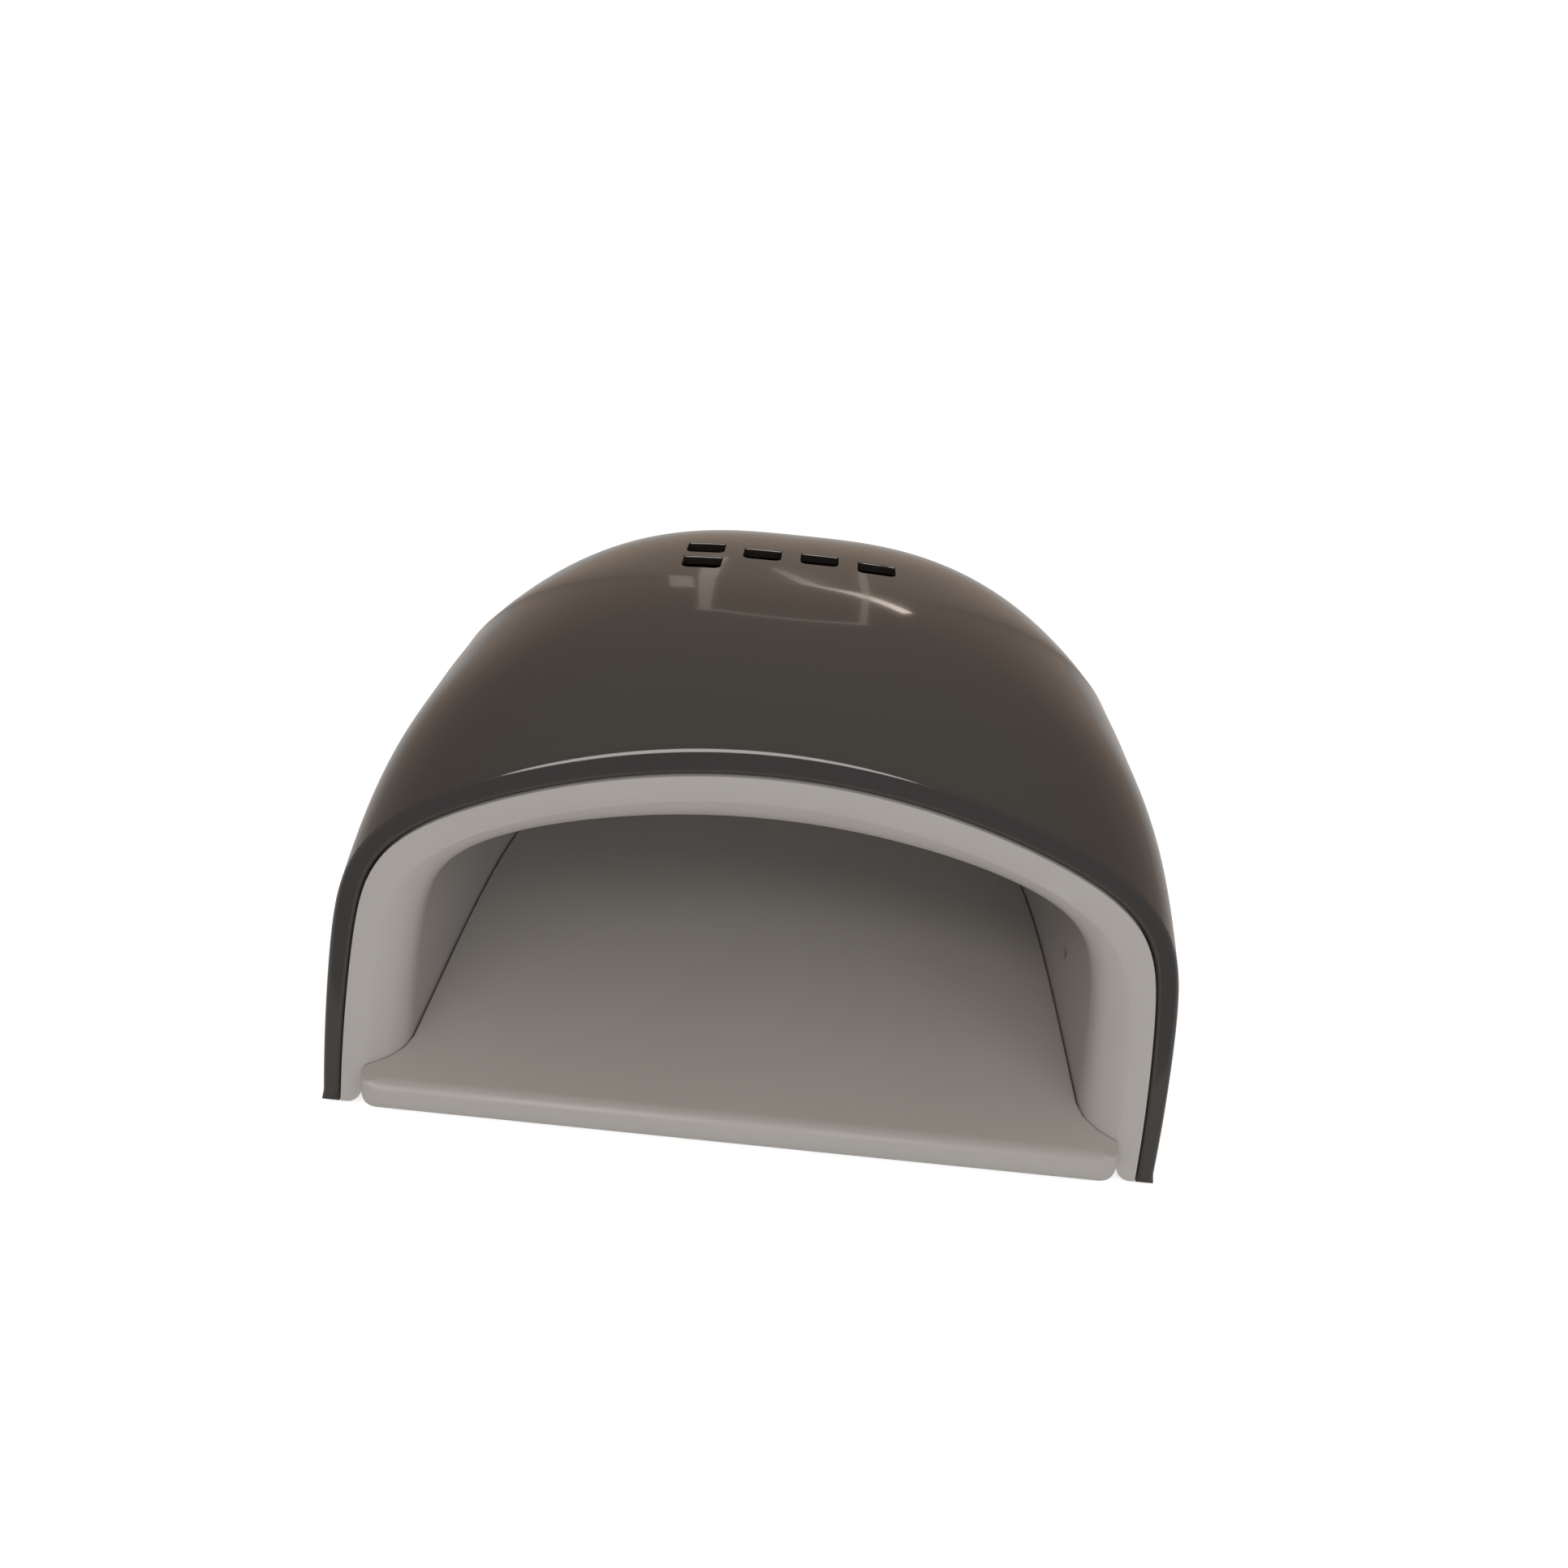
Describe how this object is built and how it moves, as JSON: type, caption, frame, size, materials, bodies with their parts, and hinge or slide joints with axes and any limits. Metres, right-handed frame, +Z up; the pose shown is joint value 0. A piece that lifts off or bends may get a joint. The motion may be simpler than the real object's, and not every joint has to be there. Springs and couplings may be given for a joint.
{
  "type": "uv nail lamp",
  "caption": "Domed nail curing lamp with a slanted hand opening, light-lined tunnel, vent slots, pull-out base tray and a rear panel of timer buttons.",
  "frame": {"origin": "centre of the bounding box in plan, at the bottom of the rubber feet", "axes": "X across the hand opening, Y from the opening to the back, Z up"},
  "size_m": [0.224, 0.2035, 0.11],
  "materials": {
    "shell_gloss": "polished taupe brown plastic",
    "liner_satin": "satin warm grey reflector plastic",
    "frame_plastic": "fine textured dark plastic",
    "tray_satin": "satin warm grey plastic",
    "foot_rubber": "soft dark rubber",
    "magnet_nickel": "nickel plated magnets",
    "panel_gloss": "polished near black plastic",
    "window_smoke": "smoked clear pane",
    "module_black": "black moulded housing",
    "board_green": "green solder mask",
    "board_white": "white solder mask",
    "component_black": "moulded component bodies",
    "capacitor_sleeve": "shrunk blue sleeve",
    "coil_copper": "enamelled copper winding",
    "button_satin": "satin pale grey plastic",
    "lens_clear": "clear lens with a violet tint",
    "sensor_dark": "dark infrared window",
    "jack_black": "black moulded inlet",
    "nut_nickel": "nickel plated nut",
    "screw_zinc": "zinc plated steel",
    "plug_nylon": "natural nylon",
    "lead_red": "insulated leads"
  },
  "bodies": {
    "lamp": {"outer_shell": "shell_gloss", "inner_liner": "liner_satin", "base_frame": "frame_plastic", "rubber_feet": "foot_rubber", "frame_magnets": "magnet_nickel", "control_panel": "panel_gloss", "display_window": "window_smoke", "display_module": "module_black", "control_board": "board_green", "tact_switches": "component_black", "driver_chips": "component_black", "capacitors": "capacitor_sleeve", "power_coil": "coil_copper", "ceiling_led_board": "board_white", "left_led_board": "board_white", "right_led_board": "board_white", "rear_led_board": "board_white", "ceiling_lenses": "lens_clear", "left_lenses": "lens_clear", "right_lenses": "lens_clear", "rear_lenses": "lens_clear", "ir_sensor": "sensor_dark", "dc_jack": "jack_black", "jack_nut": "nut_nickel", "case_screws": "screw_zinc", "board_screws": "screw_zinc", "wire_connectors": "plug_nylon", "wiring_loom": "lead_red"},
    "tray": {"removable_tray": "tray_satin", "tray_magnets": "magnet_nickel"},
    "key_10s": {"button_10s": "button_satin"},
    "key_30s": {"button_30s": "button_satin"},
    "key_60s": {"button_60s": "button_satin"},
    "key_99s": {"button_99s": "button_satin"}
  },
  "joints": [
    {"name": "tray_slide", "type": "slide", "parent": "lamp", "child": "tray", "axis": [0, -1, 0], "range_m": [0, 0.175]},
    {"name": "button_10s_press", "type": "slide", "parent": "lamp", "child": "key_10s", "axis": [0, 0.6719, 0.7407], "range_m": [-0.0006, 0], "stiffness_N_per_m": 800, "springref_m": 0.0005},
    {"name": "button_30s_press", "type": "slide", "parent": "lamp", "child": "key_30s", "axis": [0, 0.6719, 0.7407], "range_m": [-0.0006, 0], "stiffness_N_per_m": 800, "springref_m": 0.0005},
    {"name": "button_60s_press", "type": "slide", "parent": "lamp", "child": "key_60s", "axis": [0, 0.6719, 0.7407], "range_m": [-0.0006, 0], "stiffness_N_per_m": 800, "springref_m": 0.0005},
    {"name": "button_99s_press", "type": "slide", "parent": "lamp", "child": "key_99s", "axis": [0, 0.6719, 0.7407], "range_m": [-0.0006, 0], "stiffness_N_per_m": 800, "springref_m": 0.0005}
  ]
}
